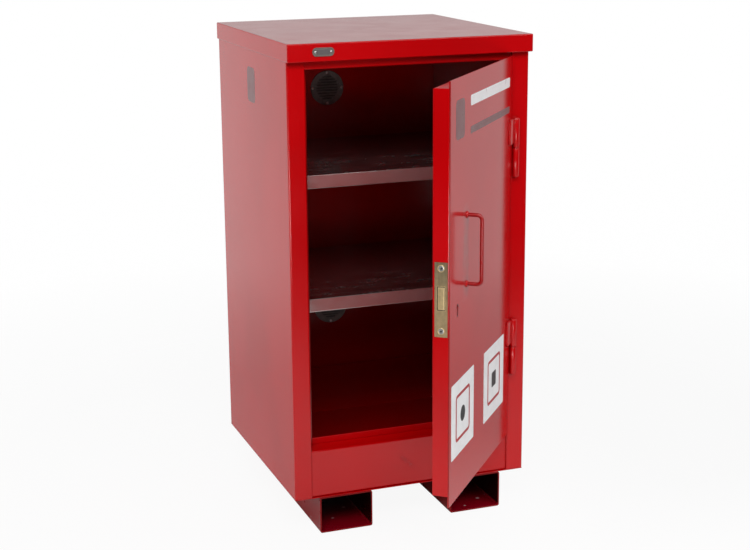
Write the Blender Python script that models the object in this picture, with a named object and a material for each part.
"""Flammable storage cabinet: a welded sheet-steel body on two fork-pocket skids, with an overhanging
roof cap, a liquid-tight sump, two galvanised shelves and a single lockable door, standing half open.

Metres, +Z up, front of the cabinet towards -Y. The cabinet stands on the floor, z = 0.
Three empties carry the three rigid bodies: "cabinet", "door" (its origin is on the hinge axis) and
"deadbolt_slide" (its origin is at the middle of the bolt, and the bolt slides along its own X).
"""

import math

import bmesh
import bpy
from mathutils import Vector

MM = 0.001

# Whole cabinet
CABINET_Y = 0.159          # body centre behind the origin, so the open cabinet stands centred on it
TOP = 980 * MM
GAP = 0.3 * MM             # between pieces that touch
SHEET = 1.5 * MM           # body and door sheet
FOLD = 1.0 * MM            # inside radius of a fold

# Roof cap
LID_W = 500 * MM
LID_D = 510 * MM
LID_SKIRT = 34.5 * MM
LID_EDGE = 2.0 * MM

# Body
BODY_HALF_W = 248 * MM
FRONT_Y = -240 * MM
BACK_Y = 249 * MM
BODY_BOTTOM = 76.3 * MM
STILE_INNER = 212 * MM     # half the clear width between the two stiles
JAMB_DEPTH = 35 * MM
STOP_W = 12.5 * MM         # the door stop that turns in from each jamb
PANEL_RECESS = 4 * MM      # header and bund panel sit this far behind the stiles
BUND_TOP = 175 * MM
HEADER_BOTTOM = 929.4 * MM
BACK_FLANGE = 20 * MM

# Sump
SUMP_FRONT = -196.5 * MM
SUMP_TOP = 188 * MM

# Skids: box sections that a pallet truck's forks enter
SKID_W = 111 * MM
SKID_H = 76 * MM
SKID_WALL = 3 * MM
SKID_X = 141 * MM
SKID_RADIUS = 4 * MM

# Shelves
SHELF_TOPS = {"lower": 471 * MM, "upper": 719 * MM}
SHELF_LIP = 27.5 * MM
SHELF_FRONT = -180 * MM
SHELF_BACK = 240 * MM
SHELF_HALF_W = 245.4 * MM
BRACKET_LEG = 22 * MM

# Vents through the back
VENT_X = -7 * MM
VENT_Z = {"lower": 329 * MM, "upper": 829 * MM}
VENT_BORE = 28 * MM
GRILLE_RADIUS = 38 * MM
COVER_RADIUS = 42 * MM
VENT_PLATE = 2 * MM
VENT_RIVET_CIRCLE = 33.5 * MM

# Door, in its own frame: the origin is on the hinge axis, and closed it points to -X
DOOR_OPEN = math.radians(50)
AXIS_X = 219 * MM
AXIS_Y = -248 * MM
FACE = 4.17 * MM           # outer face of the closed door, behind the axis
DOOR_NEAR = 11.8 * MM      # hinge-side edge, from the axis
DOOR_FAR = 428.8 * MM      # free edge, from the axis
DOOR_BOTTOM = 164.3 * MM
DOOR_TOP = 940 * MM
BOX_BOTTOM = 186 * MM      # the folded box behind the face stops short of it, top and bottom
BOX_TOP = 927 * MM
DOOR_DEPTH = 31 * MM

# Hinges
HINGE_Z = {"lower": 348 * MM, "upper": 758 * MM}
KNUCKLE_RADIUS = 7 * MM
KNUCKLE_LENGTH = 58 * MM
HINGE_BORE = 3.6 * MM
PIN_RADIUS = 3.5 * MM
FLAG_REACH = 36 * MM
FLAG_THICKNESS = 3.4 * MM
FLAG_RAISED = 9 * MM       # the flag starts this far above the foot of its knuckle

# Lock, its depths measured from the door's outer face
LOCK_Z = 555 * MM
FOREND_DEPTH = (3.6 * MM, 27.6 * MM)
FOREND_HALF_H = 68 * MM
FOREND_THICKNESS = 2.5 * MM
FOREND_SCREW = 57.3 * MM
SCREW_HEAD = 5.2 * MM
CASE_DEPTH = (7 * MM, 23.6 * MM)
CASE_LENGTH = 78 * MM
CASE_HALF_H = 55 * MM
BOLT_Z = 557.5 * MM
BOLT_DEPTH = 15.6 * MM
KEEP_Y = AXIS_Y + FACE + BOLT_DEPTH    # where the thrown bolt meets the left jamb
BOLT_THICKNESS = 12.4 * MM
BOLT_HEIGHT = 41 * MM
BOLT_LENGTH = 60 * MM
KEYHOLE_FROM_AXIS = 379.8 * MM
KEYHOLE_Z = 524.5 * MM

# Handle
HANDLE_FROM_AXIS = 324.3 * MM
HANDLE_Z = (560.5 * MM, 688.5 * MM)
HANDLE_REACH = 28 * MM
HANDLE_ROD = 4.4 * MM

# Labels on the door's face
LABEL_SIDE = 143 * MM
LABEL_Z = 320 * MM
LABEL_FROM_AXIS = {"left": 344.5 * MM, "right": 131.3 * MM}
LABEL_THICKNESS = 0.4 * MM

# Plate on the roof cap's front
PLATE_X = -180 * MM
PLATE_Z = 963.5 * MM
PLATE_W = 43 * MM
PLATE_H = 16.5 * MM
PLATE_RIVET_REACH = 15.3 * MM

COLOURS = {
    "red_paint": ((0.45, 0.012, 0.014, 1), 0.0, 0.35),
    "galvanised": ((0.50, 0.50, 0.50, 1), 0.9, 0.45),
    "dark_vent": ((0.06, 0.065, 0.06, 1), 0.0, 0.6),
    "brass": ((0.62, 0.52, 0.30, 1), 1.0, 0.35),
    "zinc": ((0.62, 0.62, 0.60, 1), 1.0, 0.35),
    "label": ((0.85, 0.85, 0.85, 1), 0.0, 0.5),
    "plate": ((0.45, 0.43, 0.42, 1), 1.0, 0.4),
}


# ---------------------------------------------------------------- helpers

def clear_scene():
    for obj in list(bpy.data.objects):
        bpy.data.objects.remove(obj, do_unlink=True)


def material(name, slot):
    colour, metallic, roughness = COLOURS[slot]
    made = bpy.data.materials.new(name)
    made.use_nodes = True
    shader = made.node_tree.nodes["Principled BSDF"]
    shader.inputs["Base Color"].default_value = colour
    shader.inputs["Metallic"].default_value = metallic
    shader.inputs["Roughness"].default_value = roughness
    made.diffuse_color = colour
    return made


def empty(name, parent, location, angle=0.0):
    made = bpy.data.objects.new(name, None)
    bpy.context.scene.collection.objects.link(made)
    made.empty_display_size = 0.05
    made.parent = parent
    made.location = location
    made.rotation_euler = (0, 0, angle)
    return made


def add_mesh(name, bm, parent, slot, smooth=False):
    """An object from a bmesh, its faces turned outwards."""
    bmesh.ops.recalc_face_normals(bm, faces=bm.faces)
    mesh = bpy.data.meshes.new(name)
    bm.to_mesh(mesh)
    bm.free()
    made = bpy.data.objects.new(name, mesh)
    bpy.context.scene.collection.objects.link(made)
    made.parent = parent
    mesh.materials.append(material(name, slot))
    if smooth:
        mesh.shade_smooth()
        mesh.set_sharp_from_angle(angle=math.radians(40))
    return made


def fold_arc(points, centre, start, turn, radius, steps):
    for i in range(steps + 1):
        angle = start + turn * i / steps
        points.append(centre + radius * Vector((math.cos(angle), math.sin(angle))))


def bent_sheet(path, thickness=SHEET, fold=FOLD, steps=3):
    """The outline of a folded sheet. path is its outer line, and the metal lies on the line's left."""
    path = [Vector(p) for p in path]
    outer, inner = [], []
    for i, point in enumerate(path):
        before = (point - path[i - 1]).normalized() if i else None
        after = (path[i + 1] - point).normalized() if i + 1 < len(path) else None
        if before is None or after is None:
            along = after or before
            left = Vector((-along.y, along.x))
            outer.append(point.copy())
            inner.append(point + left * thickness)
            continue
        turn = math.atan2(before.x * after.y - before.y * after.x, before.dot(after))
        side = 1 if turn > 0 else -1
        left = Vector((-before.y, before.x))
        r_outer = fold + thickness if side > 0 else fold
        r_inner = fold if side > 0 else fold + thickness
        centre = point - before * r_outer * math.tan(abs(turn) / 2) + left * side * r_outer
        start = math.atan2(-left.y * side, -left.x * side)
        fold_arc(outer, centre, start, turn, r_outer, steps)
        fold_arc(inner, centre, start, turn, r_inner, steps)
    return outer + inner[::-1]


def extrude(name, outline, place, parent, slot, smooth=False):
    """outline swept in a straight line: place(u, v, end) gives the point of each end cap, end 0 and 1."""
    bm = bmesh.new()
    rings = [[bm.verts.new(place(p[0], p[1], end)) for p in outline] for end in (0, 1)]
    count = len(outline)
    for i in range(count):
        j = (i + 1) % count
        bm.faces.new((rings[0][i], rings[0][j], rings[1][j], rings[1][i]))
    bm.faces.new(rings[0])
    bm.faces.new(rings[1])
    return add_mesh(name, bm, parent, slot, smooth)


def extrude_z(name, outline, low, high, parent, slot, smooth=False):
    return extrude(name, outline, lambda u, v, e: (u, v, high if e else low), parent, slot, smooth)


def extrude_x(name, outline, low, high, parent, slot):
    return extrude(name, outline, lambda u, v, e: (high if e else low, u, v), parent, slot)


def extrude_y(name, outline, low, high, parent, slot, smooth=False):
    return extrude(name, outline, lambda u, v, e: (u, high if e else low, v), parent, slot, smooth)


def block(name, low, high, parent, slot="red_paint"):
    outline = [(low[0], low[1]), (high[0], low[1]), (high[0], high[1]), (low[0], high[1])]
    return extrude_z(name, outline, low[2], high[2], parent, slot)


def circle(centre, radius, segments):
    return [
        (
            centre[0] + radius * math.cos(2 * math.pi * i / segments),
            centre[1] + radius * math.sin(2 * math.pi * i / segments),
        )
        for i in range(segments)
    ]


def lathe(name, profile, place, parent, slot, segments):
    """A turned piece. profile lists (radius, distance) along its line, and place(u, v, distance) a point."""
    bm = bmesh.new()
    rings = []
    for radius, along in profile:
        if radius == 0:
            rings.append([bm.verts.new(place(0, 0, along))])
        else:
            rings.append([bm.verts.new(place(u, v, along)) for u, v in circle((0, 0), radius, segments)])
    for first, second in zip(rings, rings[1:]):
        for i in range(segments):
            j = (i + 1) % segments
            corners = [first[i % len(first)], first[j % len(first)]]
            corners += [second[j % len(second)], second[i % len(second)]]
            bm.faces.new(list(dict.fromkeys(corners)))
    return add_mesh(name, bm, parent, slot, smooth=True)


def lathe_x(name, profile, y, z, parent, slot, segments=20):
    return lathe(name, profile, lambda u, v, t: (t, y + u, z + v), parent, slot, segments)


def lathe_y(name, profile, x, z, parent, slot, segments=20):
    return lathe(name, profile, lambda u, v, t: (x + u, t, z + v), parent, slot, segments)


def lathe_z(name, profile, parent, slot, segments=28):
    return lathe(name, profile, lambda u, v, t: (u, v, t), parent, slot, segments)


def bevel(obj, width, segments=2):
    edges = obj.modifiers.new("edges", "BEVEL")
    edges.width = width
    edges.segments = segments
    edges.limit_method = "ANGLE"
    edges.angle_limit = math.radians(40)


def combine(obj, other, operation):
    step = obj.modifiers.new(operation.lower(), "BOOLEAN")
    step.operation = operation
    step.solver = "EXACT"
    step.object = other
    other.hide_render = True
    other.display_type = "WIRE"


def cut(obj, *cutters):
    for cutter in cutters:
        combine(obj, cutter, "DIFFERENCE")


def join(obj, *others):
    for other in others:
        combine(obj, other, "UNION")


# ---------------------------------------------------------------- roof and body

def roof_cap(body):
    half_w, half_d = LID_W / 2, LID_D / 2
    low = TOP - LID_SKIRT
    cap = block("roof_cap", (-half_w, -half_d, low), (half_w, half_d, TOP), body)
    bevel(cap, LID_EDGE, 3)
    inside = block(
        "cut_roof_inside",
        (-half_w + SHEET, -half_d + SHEET, low + SHEET),
        (half_w - SHEET, half_d - SHEET, TOP - SHEET),
        body,
    )
    mouth = block(
        "cut_roof_mouth",
        (-half_w + SHEET, FRONT_Y - GAP, low - SHEET),
        (half_w - SHEET, half_d - SHEET, low + 2 * SHEET),
        body,
    )
    cut(cap, inside, mouth)
    for side in (-1, 1):
        hole = extrude_y(
            f"cut_roof_rivet{side}",
            circle((PLATE_X + side * PLATE_RIVET_REACH, PLATE_Z), 1.3 * MM, 12),
            -half_d - SHEET,
            -half_d + 2 * SHEET,
            body,
            "red_paint",
        )
        cut(cap, hole)


def side_panel(name, side, body):
    """Side wall with its front stile, jamb and door stop at one edge and the rear flange at the other."""
    path = [
        (BODY_HALF_W - BACK_FLANGE, BACK_Y),
        (BODY_HALF_W, BACK_Y),
        (BODY_HALF_W, FRONT_Y),
        (STILE_INNER, FRONT_Y),
        (STILE_INNER, FRONT_Y + JAMB_DEPTH),
        (STILE_INNER - STOP_W, FRONT_Y + JAMB_DEPTH),
    ]
    # Walking this path from the back, the metal lies on the right, so the path is turned round.
    outline = bent_sheet(path[::-1])
    outline = [(side * x, y) for x, y in outline]
    panel = extrude_z(name, outline, BODY_BOTTOM + SHEET + GAP, TOP - SHEET - GAP, body, "red_paint")
    reach = sorted((side * (STILE_INNER - STOP_W - 2 * MM), side * (STILE_INNER - 0.1 * MM)))
    for where, low, high in (
        ("bund", BODY_BOTTOM, BUND_TOP + 2 * GAP),
        ("header", HEADER_BOTTOM - 2 * GAP, TOP),
    ):
        notch = block(
            f"cut_{name}_{where}",
            (reach[0], FRONT_Y + JAMB_DEPTH - 6 * MM, low),
            (reach[1], FRONT_Y + JAMB_DEPTH + 3 * MM, high),
            body,
        )
        cut(panel, notch)
    return panel


def keep_slot(name, x_low, x_high, body):
    """Cutter for the slot that the thrown bolt enters in the left jamb."""
    y = KEEP_Y
    half_y = BOLT_THICKNESS / 2 + 1.4 * MM
    half_z = BOLT_HEIGHT / 2 + 1.6 * MM
    return block(name, (x_low, y - half_y, BOLT_Z - half_z), (x_high, y + half_y, BOLT_Z + half_z), body)


def back_panel(body):
    y = BACK_Y - SHEET - GAP
    panel = block(
        "back_panel",
        (-BODY_HALF_W + SHEET + FOLD, y - SHEET, BODY_BOTTOM + SHEET + GAP),
        (BODY_HALF_W - SHEET - FOLD, y, TOP - SHEET - GAP),
        body,
    )
    for level, z in VENT_Z.items():
        bore = extrude_y(
            f"cut_vent_{level}",
            circle((VENT_X, z), VENT_BORE, 40),
            y - 3 * SHEET,
            y + 2 * SHEET,
            body,
            "red_paint",
        )
        cut(panel, bore)
        cut(panel, *rivet_holes(f"cut_back_{level}", z, y - 3 * SHEET, y + 2 * SHEET, body))


def rivet_places(z):
    for i in range(4):
        angle = math.pi / 2 * i
        yield (
            VENT_X + VENT_RIVET_CIRCLE * math.cos(angle),
            z + VENT_RIVET_CIRCLE * math.sin(angle),
        )


def rivet_holes(name, z, low, high, body):
    return [
        extrude_y(f"{name}_{i}", circle(place, 1.9 * MM, 12), low, high, body, "red_paint")
        for i, place in enumerate(rivet_places(z))
    ]


def header_rail(body):
    """Folded rail over the door: a recessed front face, its bottom return and a stiffening lip."""
    front = FRONT_Y + PANEL_RECESS
    back = FRONT_Y + JAMB_DEPTH + 2 * MM
    path = [
        (back, HEADER_BOTTOM + 14 * MM),
        (back, HEADER_BOTTOM),
        (front, HEADER_BOTTOM),
        (front, TOP - SHEET - GAP),
    ]
    outline = bent_sheet([(y, z) for y, z in path][::-1])
    half = STILE_INNER - 2 * GAP
    extrude_x("header_rail", outline, -half, half, body, "red_paint")


def bund_panel(body):
    """Folded panel under the door, with the ledge that the door closes over."""
    front = FRONT_Y + PANEL_RECESS
    back = SUMP_FRONT - GAP
    path = [
        (front + 14 * MM, BODY_BOTTOM + SHEET + GAP),
        (front, BODY_BOTTOM + SHEET + GAP),
        (front, BUND_TOP),
        (back, BUND_TOP),
        (back, BUND_TOP - 15 * MM),
    ]
    outline = bent_sheet(path[::-1])
    half = STILE_INNER - 2 * GAP
    extrude_x("bund_panel", outline, -half, half, body, "red_paint")


def floor_panel(body):
    panel = block(
        "floor_panel",
        (-BODY_HALF_W, FRONT_Y, BODY_BOTTOM),
        (BODY_HALF_W, BACK_Y, BODY_BOTTOM + SHEET),
        body,
    )
    bevel(panel, 0.4 * MM, 1)


def sump_tray(body):
    half = BODY_HALF_W - SHEET - 2 * GAP
    back = BACK_Y - 2 * SHEET - 2 * GAP
    low = BODY_BOTTOM + SHEET + GAP
    tray = block("sump_tray", (-half, SUMP_FRONT, low), (half, back, SUMP_TOP), body)
    inside = block(
        "cut_sump",
        (-half + SHEET, SUMP_FRONT + SHEET, low + SHEET),
        (half - SHEET, back - SHEET, SUMP_TOP + SHEET),
        body,
    )
    cut(tray, inside)
    bevel(tray, 0.5 * MM, 1)


def skid(name, side, body):
    x = side * SKID_X
    half = SKID_W / 2
    outline = rounded_rectangle(x, SKID_H / 2, half, SKID_H / 2, SKID_RADIUS, 4)
    tube = extrude_y(name, outline, FRONT_Y, BACK_Y, body, "red_paint")
    bore = extrude_y(
        f"cut_{name}",
        rounded_rectangle(
            x, SKID_H / 2, half - SKID_WALL, SKID_H / 2 - SKID_WALL, SKID_RADIUS - SKID_WALL / 2, 3
        ),
        FRONT_Y - SKID_WALL,
        BACK_Y + SKID_WALL,
        body,
        "red_paint",
    )
    cut(tube, bore)


def rounded_rectangle(x, z, half_w, half_h, radius, steps):
    outline = []
    corners = ((1, 1, 0), (-1, 1, 1), (-1, -1, 2), (1, -1, 3))
    for sx, sz, quarter in corners:
        for i in range(steps + 1):
            angle = math.pi / 2 * (quarter + i / steps)
            outline.append((
                x + sx * (half_w - radius) + radius * math.cos(angle),
                z + sz * (half_h - radius) + radius * math.sin(angle),
            ))
    return outline


# ---------------------------------------------------------------- inside the cabinet

def shelf(level, top, body):
    """Galvanised shelf folded down at front and back, its front lip turned in under it."""
    low = top - SHELF_LIP
    path = [
        (SHELF_FRONT + 14 * MM, low),
        (SHELF_FRONT, low),
        (SHELF_FRONT, top),
        (SHELF_BACK, top),
        (SHELF_BACK, low),
    ]
    outline = bent_sheet(path[::-1], 1.2 * MM)
    extrude_x(f"{level}_shelf", outline, -SHELF_HALF_W, SHELF_HALF_W, body, "galvanised")


def shelf_bracket(level, top, side_name, side, body):
    """Angle welded to the side wall, its top leg under the shelf."""
    wall = BODY_HALF_W - SHEET - GAP
    high = top - 1.2 * MM - GAP
    path = [(wall - BRACKET_LEG, high), (wall, high), (wall, high - BRACKET_LEG)]
    # The path runs outwards along the top leg and down the wall, with the metal on its right.
    outline = [(side * x, z) for x, z in bent_sheet(path[::-1])]
    extrude_y(
        f"{level}_bracket_{side_name}",
        outline,
        SHELF_FRONT + 16 * MM,
        SHELF_BACK - 3 * MM,
        body,
        "red_paint",
    )


def slot_cutters(name, z, half_reach, spacing, height, y_low, y_high, body):
    """Horizontal slots across a round plate, shorter towards its top and bottom."""
    count = int(half_reach / spacing)
    for i in range(-count, count + 1):
        dz = i * spacing
        half = math.sqrt(half_reach ** 2 - dz ** 2) - 3 * MM
        if half < 5 * MM:
            continue
        yield block(
            f"{name}_{i}",
            (VENT_X - half, y_low, z + dz - height / 2),
            (VENT_X + half, y_high, z + dz + height / 2),
            body,
        )


def vent(level, z, body):
    """Slatted grille inside the back panel, louvred cover outside it and four rivets through both."""
    inner_back = BACK_Y - 2 * SHEET - 2 * GAP
    inner_front = inner_back - VENT_PLATE
    outer_front = BACK_Y - SHEET
    outer_back = outer_front + VENT_PLATE
    grille = lathe_y(
        f"vent_grille_{level}",
        [
            (0, inner_front),
            (GRILLE_RADIUS - 0.7 * MM, inner_front),
            (GRILLE_RADIUS, inner_front + 0.7 * MM),
            (GRILLE_RADIUS, inner_back),
            (0, inner_back),
        ],
        VENT_X, z, body, "dark_vent", 40,
    )
    cover = lathe_y(
        f"vent_cover_{level}",
        [
            (0, outer_front),
            (COVER_RADIUS, outer_front),
            (COVER_RADIUS, outer_back - 0.7 * MM),
            (COVER_RADIUS - 0.7 * MM, outer_back),
            (0, outer_back),
        ],
        VENT_X, z, body, "zinc", 40,
    )
    for plate, low, high in ((grille, inner_front, inner_back), (cover, outer_front, outer_back)):
        span = (low - VENT_PLATE, high + VENT_PLATE)
        cut(plate, *slot_cutters(f"cut_{plate.name}", z, 28 * MM, 6 * MM, 3 * MM, *span, body))
        cut(plate, *rivet_holes(f"cut_{plate.name}_rivet", z, *span, body))
    for i, (x, rivet_z) in enumerate(rivet_places(z)):
        blind_rivet(f"vent_rivet_{level}_{i + 1}", x, rivet_z, inner_front, outer_back, body)


def blind_rivet(name, x, z, front, back, body):
    """Dome head on the inside, shank through the plates, flattened head on the outside."""
    shank = 1.7 * MM
    head = 3.2 * MM
    lathe_y(
        name,
        [
            (0, front - GAP - 1.3 * MM),
            (head * 0.55, front - GAP - 1.1 * MM),
            (head * 0.9, front - GAP - 0.5 * MM),
            (head, front - GAP),
            (shank, front - GAP),
            (shank, back + GAP),
            (head * 0.85, back + GAP),
            (head * 0.6, back + GAP + 0.9 * MM),
            (0, back + GAP + 1.1 * MM),
        ],
        x, z, body, "zinc", 12,
    )


# ---------------------------------------------------------------- plate on the roof cap

def nameplate(body):
    front = -LID_D / 2 - GAP
    outline = rounded_rectangle(PLATE_X, PLATE_Z, PLATE_W / 2, PLATE_H / 2, PLATE_H / 2 * 0.98, 8)
    plate = extrude_y("nameplate", outline, front - 0.8 * MM, front, body, "plate")
    bevel(plate, 0.25 * MM, 1)
    for side, side_name in ((-1, "left"), (1, "right")):
        x = PLATE_X + side * PLATE_RIVET_REACH
        hole = extrude_y(
            f"cut_plate_{side_name}",
            circle((x, PLATE_Z), 1.3 * MM, 12),
            front - SHEET,
            front + SHEET,
            body,
            "plate",
        )
        cut(plate, hole)
        face = front - 0.8 * MM - GAP
        lathe_y(
            f"plate_rivet_{side_name}",
            [
                (0, face - 1.1 * MM),
                (1.3 * MM, face - 0.9 * MM),
                (2.2 * MM, face - 0.4 * MM),
                (2.5 * MM, face),
                (1.1 * MM, face),
                (1.1 * MM, -LID_D / 2 + SHEET + 1 * MM),
                (0, -LID_D / 2 + SHEET + 1.2 * MM),
            ],
            x, PLATE_Z, body, "zinc", 12,
        )


# ---------------------------------------------------------------- hinges

def knuckle(name, low, high, parent):
    """Turned barrel round the hinge axis at (0, 0) of its parent, with broken edges."""
    edge = 1.2 * MM
    profile = [
        (0, low),
        (KNUCKLE_RADIUS - edge, low),
        (KNUCKLE_RADIUS, low + edge),
        (KNUCKLE_RADIUS, high - edge),
        (KNUCKLE_RADIUS - edge, high),
        (0, high),
    ]
    return lathe_z(name, profile, parent, "red_paint")


def hinge(level, z, body, door):
    """Lift-off hinge: a pinned lower knuckle on the stile and an upper knuckle with a flag on the door."""
    axis = empty(f"hinge_line_{level}", body, (AXIS_X, AXIS_Y, 0))
    washer = 1.6 * MM
    low = z - KNUCKLE_LENGTH - washer / 2 - GAP
    frame_top = z - washer / 2 - GAP
    door_low = z + washer / 2 + GAP
    high = door_low + KNUCKLE_LENGTH

    frame_leaf = knuckle(f"hinge_frame_leaf_{level}", low, frame_top, axis)
    foot = block(
        f"join_foot_{level}",
        (-6.5 * MM, KNUCKLE_RADIUS - 3 * MM, low + 2 * MM),
        (6.5 * MM, FRONT_Y - AXIS_Y - GAP, frame_top - 2 * MM),
        axis,
    )
    join(frame_leaf, foot)
    bore = round_bar(f"cut_frame_bore_{level}", HINGE_BORE, low + 4 * MM, frame_top + washer, axis)
    cut(frame_leaf, bore)

    door_leaf = knuckle(f"hinge_door_leaf_{level}", door_low, high, door)
    flag = block(
        f"join_flag_{level}",
        (-FLAG_REACH, FACE - GAP - FLAG_THICKNESS, door_low + FLAG_RAISED),
        (-1 * MM, FACE - GAP, high - 1.5 * MM),
        door,
    )
    bevel(flag, 0.8 * MM, 2)
    join(door_leaf, flag)
    cut(door_leaf, round_bar(f"cut_door_bore_{level}", HINGE_BORE, door_low - washer, high - 6 * MM, door))

    pin = round_bar(f"hinge_pin_{level}", PIN_RADIUS, low + 4 * MM + GAP, high - 6 * MM - 2 * MM, axis, "zinc")
    bevel(pin, 0.6 * MM, 1)
    ring = round_bar(
        f"hinge_washer_{level}", KNUCKLE_RADIUS - 0.4 * MM, z - washer / 2, z + washer / 2, axis
    )
    cut(ring, round_bar(f"cut_washer_{level}", HINGE_BORE, z - washer, z + washer, axis))


def round_bar(name, radius, low, high, parent, slot="red_paint"):
    return extrude_z(name, circle((0, 0), radius, 28), low, high, parent, slot, smooth=True)


# ---------------------------------------------------------------- door

def door_skin(door):
    """Outer sheet: the face and a flange folded back along each upright edge."""
    path = [
        (-DOOR_NEAR, FACE + DOOR_DEPTH),
        (-DOOR_NEAR, FACE),
        (-DOOR_FAR, FACE),
        (-DOOR_FAR, FACE + DOOR_DEPTH),
    ]
    outline = bent_sheet(path[::-1])
    skin = extrude_z("door_skin", outline, DOOR_BOTTOM, DOOR_TOP, door, "red_paint")
    for where, low, high in (
        ("bottom", DOOR_BOTTOM - SHEET, BOX_BOTTOM),
        ("top", BOX_TOP, DOOR_TOP + SHEET),
    ):
        corner = block(
            f"cut_skin_{where}",
            (-DOOR_FAR - SHEET, FACE + 2.6 * MM, low),
            (-DOOR_NEAR + SHEET, FACE + DOOR_DEPTH + SHEET, high),
            door,
        )
        cut(skin, corner)
    window = block(
        "cut_forend_window",
        (-DOOR_FAR - SHEET, FACE + FOREND_DEPTH[0] - GAP, LOCK_Z - FOREND_HALF_H - GAP),
        (-DOOR_FAR + 2 * SHEET, FACE + FOREND_DEPTH[1] + GAP, LOCK_Z + FOREND_HALF_H + GAP),
        door,
    )
    cut(skin, window, keyhole("cut_keyhole_skin", FACE - SHEET, FACE + 3 * SHEET, door))


def keyhole(name, y_low, y_high, door):
    """Round head over a straight slot."""
    head = 3.2 * MM
    slot = 1.5 * MM
    drop = 16 * MM
    start = -math.acos(slot / head)
    outline = []
    for i in range(15):
        angle = start + (math.pi - 2 * start) * i / 14
        outline.append((
            -KEYHOLE_FROM_AXIS + head * math.cos(angle),
            KEYHOLE_Z + 6.6 * MM + head * math.sin(angle),
        ))
    outline.append((-KEYHOLE_FROM_AXIS - slot, KEYHOLE_Z + 6.6 * MM - drop))
    outline.append((-KEYHOLE_FROM_AXIS + slot, KEYHOLE_Z + 6.6 * MM - drop))
    return extrude_y(name, outline, y_low, y_high, door, "brass")


def door_inner_pan(door):
    """Inner sheet of the door: its back face with a flange forward along the top and the bottom."""
    thickness = 1.2 * MM
    front = FACE + SHEET + GAP
    back = FACE + DOOR_DEPTH
    path = [(front, BOX_TOP), (back, BOX_TOP), (back, BOX_BOTTOM), (front, BOX_BOTTOM)]
    # Down the back face the metal lies towards the front of the door, on the path's right.
    outline = bent_sheet(path[::-1], thickness)
    inset = SHEET + GAP
    extrude_x("door_inner_pan", outline, -DOOR_FAR + inset, -DOOR_NEAR - inset, door, "red_paint")


def door_stiffener(door):
    """Hat section up the middle of the door: its brims on the face sheet, its web by the inner pan."""
    x = -(DOOR_FAR + DOOR_NEAR) / 2
    thickness = 1.2 * MM
    front = FACE + SHEET + GAP
    back = FACE + DOOR_DEPTH - 2 * thickness - GAP
    path = [
        (x - 38 * MM, front),
        (x - 20 * MM, front),
        (x - 20 * MM, back),
        (x + 20 * MM, back),
        (x + 20 * MM, front),
        (x + 38 * MM, front),
    ]
    outline = bent_sheet(path, thickness)
    extrude_z("door_stiffener", outline, BOX_BOTTOM + 8 * MM, BOX_TOP - 8 * MM, door, "red_paint")


def door_handle(door):
    """Bow handle bent from round rod, each foot upset into a small collar against the face."""
    x = -HANDLE_FROM_AXIS
    low, high = HANDLE_Z
    foot_y = FACE - GAP
    grip_y = foot_y - HANDLE_REACH
    bend = 9 * MM
    root_y = foot_y - 0.8 * MM
    points = [Vector((x, root_y, low))]
    for centre_z, start, end in ((low + bend, math.pi, math.pi / 2), (high - bend, math.pi / 2, 0)):
        for i in range(6):
            angle = start + (end - start) * i / 5
            if centre_z < (low + high) / 2:
                offset = Vector((0, -bend * math.sin(math.pi - angle), -bend * math.cos(math.pi - angle)))
            else:
                offset = Vector((0, -bend * math.sin(angle), bend * math.cos(angle)))
            points.append(Vector((x, grip_y + bend, centre_z)) + offset)
    points.append(Vector((x, root_y, high)))
    rod = swept_rod("door_handle", points, HANDLE_ROD, 16, door)
    for i, z in enumerate((low, high)):
        collar = lathe_y(
            f"join_collar_{i}",
            [
                (0, foot_y),
                (6 * MM, foot_y),
                (5.6 * MM, foot_y - 1.6 * MM),
                (HANDLE_ROD - 0.4 * MM, foot_y - 3 * MM),
                (0, foot_y - 3 * MM),
            ],
            x, z, door, "red_paint", 16,
        )
        join(rod, collar)


def swept_rod(name, points, radius, segments, parent):
    """Round rod through points that lie in one plane of constant X."""
    bm = bmesh.new()
    across = Vector((1, 0, 0))
    rings = []
    for i, point in enumerate(points):
        before = points[max(i - 1, 0)]
        after = points[min(i + 1, len(points) - 1)]
        along = (after - before).normalized()
        up = along.cross(across)
        rings.append([
            bm.verts.new(
                point
                + radius * math.cos(2 * math.pi * k / segments) * across
                + radius * math.sin(2 * math.pi * k / segments) * up
            )
            for k in range(segments)
        ])
    for first, second in zip(rings, rings[1:]):
        for k in range(segments):
            j = (k + 1) % segments
            bm.faces.new((first[k], first[j], second[j], second[k]))
    bm.faces.new(rings[0])
    bm.faces.new(rings[-1])
    return add_mesh(name, bm, parent, "red_paint", smooth=True)


def label(side_name, from_axis, door):
    half = LABEL_SIDE / 2
    outline = rounded_rectangle(-from_axis, LABEL_Z, half, half, 3 * MM, 3)
    extrude_y(
        f"label_{side_name}", outline, FACE - GAP - LABEL_THICKNESS, FACE - GAP, door, "label"
    )


# ---------------------------------------------------------------- lock

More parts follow.
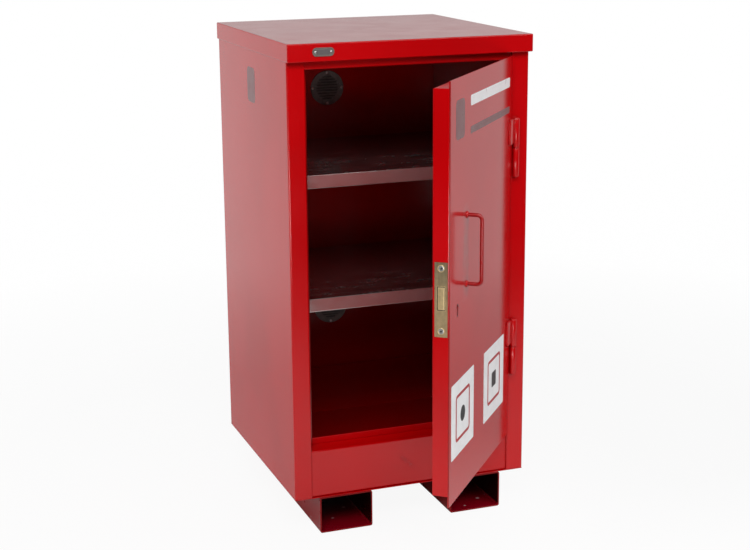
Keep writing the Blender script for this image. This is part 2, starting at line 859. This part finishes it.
def lock_forend(door):
    """Brass end plate of the lock, let into the door's free edge."""
    plate = block(
        "lock_forend",
        (-DOOR_FAR - 0.2 * MM, FACE + FOREND_DEPTH[0], LOCK_Z - FOREND_HALF_H),
        (-DOOR_FAR - 0.2 * MM + FOREND_THICKNESS, FACE + FOREND_DEPTH[1], LOCK_Z + FOREND_HALF_H),
        door,
        "brass",
    )
    half_y = BOLT_THICKNESS / 2 + GAP
    half_z = BOLT_HEIGHT / 2 + GAP
    mouth = block(
        "cut_forend_mouth",
        (-DOOR_FAR - SHEET, FACE + BOLT_DEPTH - half_y, BOLT_Z - half_z),
        (-DOOR_FAR + 2 * FOREND_THICKNESS, FACE + BOLT_DEPTH + half_y, BOLT_Z + half_z),
        door,
    )
    cut(plate, mouth)
    for where, side in (("upper", 1), ("lower", -1)):
        z = LOCK_Z + side * FOREND_SCREW
        cut(plate, screw_solid(f"cut_screw_{where}", z, 0.2 * MM, door))
        screw = screw_solid(f"forend_screw_{where}", z, 0, door)
        drive = block(
            f"cut_drive_{where}",
            (-DOOR_FAR - SHEET, FACE + BOLT_DEPTH - 0.6 * MM, z - 3.4 * MM),
            (-DOOR_FAR + 1 * MM, FACE + BOLT_DEPTH + 0.6 * MM, z + 3.4 * MM),
            door,
        )
        cut(screw, drive)


def screw_solid(name, z, extra, door):
    """Countersunk screw along X into the lock case, larger by extra when it cuts its own hole."""
    head = SCREW_HEAD + extra
    shank = 1.9 * MM + extra
    face_x = -DOOR_FAR - 0.2 * MM - extra
    profile = [
        (0, face_x),
        (head, face_x),
        (head, face_x + 0.5 * MM + extra),
        (shank, face_x + 2.4 * MM + extra),
        (shank, face_x + 9 * MM + 2 * extra),
        (0, face_x + 9 * MM + 2 * extra),
    ]
    return lathe_x(name, profile, FACE + BOLT_DEPTH, z, door, "zinc")


def lock_case(door):
    """Lock body behind the forend, with the channel that guides the bolt and a key hole."""
    near = -DOOR_FAR - 0.2 * MM + FOREND_THICKNESS + GAP
    case = block(
        "lock_case",
        (near, FACE + CASE_DEPTH[0], LOCK_Z - CASE_HALF_H - 8 * MM),
        (near + CASE_LENGTH, FACE + CASE_DEPTH[1], LOCK_Z + CASE_HALF_H + 8 * MM),
        door,
        "zinc",
    )
    half_y = BOLT_THICKNESS / 2 + GAP
    half_z = BOLT_HEIGHT / 2 + GAP
    channel = block(
        "cut_case_channel",
        (near - SHEET, FACE + BOLT_DEPTH - half_y, BOLT_Z - half_z),
        (-DOOR_FAR + BOLT_LENGTH + 4 * MM, FACE + BOLT_DEPTH + half_y, BOLT_Z + half_z),
        door,
    )
    cut(case, channel, keyhole("cut_keyhole_case", FACE, FACE + CASE_DEPTH[0] + 9 * MM, door))
    for where, side in (("upper", 1), ("lower", -1)):
        cut(case, screw_solid(f"cut_case_screw_{where}", LOCK_Z + side * FOREND_SCREW, 0.2 * MM, door))


def deadbolt(slide):
    """Rectangular bolt, flush with the forend at rest."""
    half = (BOLT_LENGTH / 2, BOLT_THICKNESS / 2, BOLT_HEIGHT / 2)
    bolt = block("deadbolt", [-h for h in half], half, slide, "brass")
    bevel(bolt, 0.5 * MM, 2)


def strike_plate(body):
    """Keep plate behind the left jamb, held by two countersunk screws from the opening side."""
    x_high = -STILE_INNER - SHEET - GAP
    x_low = x_high - 2 * MM
    y = KEEP_Y
    plate = block(
        "strike_plate",
        (x_low, y - 9 * MM, BOLT_Z - 44 * MM),
        (x_high, y + 13 * MM, BOLT_Z + 44 * MM),
        body,
        "zinc",
    )
    cut(plate, keep_slot("cut_strike_slot", x_low - SHEET, x_high + SHEET, body))
    holes = []
    for where, side in (("upper", 1), ("lower", -1)):
        z = BOLT_Z + side * 34 * MM
        for target in ("plate", "jamb"):
            hole = strike_screw(f"cut_{target}_screw_{where}", y, z, 0.2 * MM, body)
            if target == "plate":
                cut(plate, hole)
            else:
                holes.append(hole)
        strike_screw(f"strike_screw_{where}", y, z, 0, body)
    return holes


def strike_screw(name, y, z, extra, body):
    """Low dome screw along X, its head in the opening."""
    face = -STILE_INNER
    profile = [
        (0, face + 0.9 * MM),
        (2.4 * MM, face + 0.75 * MM),
        (3.6 * MM, face + GAP),
        (1.8 * MM + extra, face + GAP),
        (1.8 * MM + extra, face - 8 * MM - 2 * extra),
        (0, face - 8 * MM - 2 * extra),
    ]
    return lathe_x(name, profile, y, z, body, "zinc", 16)


# ---------------------------------------------------------------- assembly

def build():
    clear_scene()
    body = empty("cabinet", None, (0, CABINET_Y, 0))
    door = empty("door", body, (AXIS_X, AXIS_Y, 0), DOOR_OPEN)
    bolt_middle = (-DOOR_FAR + BOLT_LENGTH / 2, FACE + BOLT_DEPTH, BOLT_Z)
    slide = empty("deadbolt_slide", door, bolt_middle)

    roof_cap(body)
    left = side_panel("left_side_panel", -1, body)
    side_panel("right_side_panel", 1, body)
    back_panel(body)
    header_rail(body)
    bund_panel(body)
    floor_panel(body)
    sump_tray(body)
    skid("left_skid", -1, body)
    skid("right_skid", 1, body)
    for level, top in SHELF_TOPS.items():
        shelf(level, top, body)
        shelf_bracket(level, top, "left", -1, body)
        shelf_bracket(level, top, "right", 1, body)
    for level, z in VENT_Z.items():
        vent(level, z, body)
    nameplate(body)
    for level, z in HINGE_Z.items():
        hinge(level, z, body, door)
    holes = strike_plate(body)
    slot_x = -STILE_INNER
    cut(left, keep_slot("cut_jamb_slot", slot_x - 3 * SHEET, slot_x + SHEET, body), *holes)

    door_skin(door)
    door_inner_pan(door)
    door_stiffener(door)
    door_handle(door)
    for side_name, from_axis in LABEL_FROM_AXIS.items():
        label(side_name, from_axis, door)
    lock_forend(door)
    lock_case(door)
    deadbolt(slide)


build()
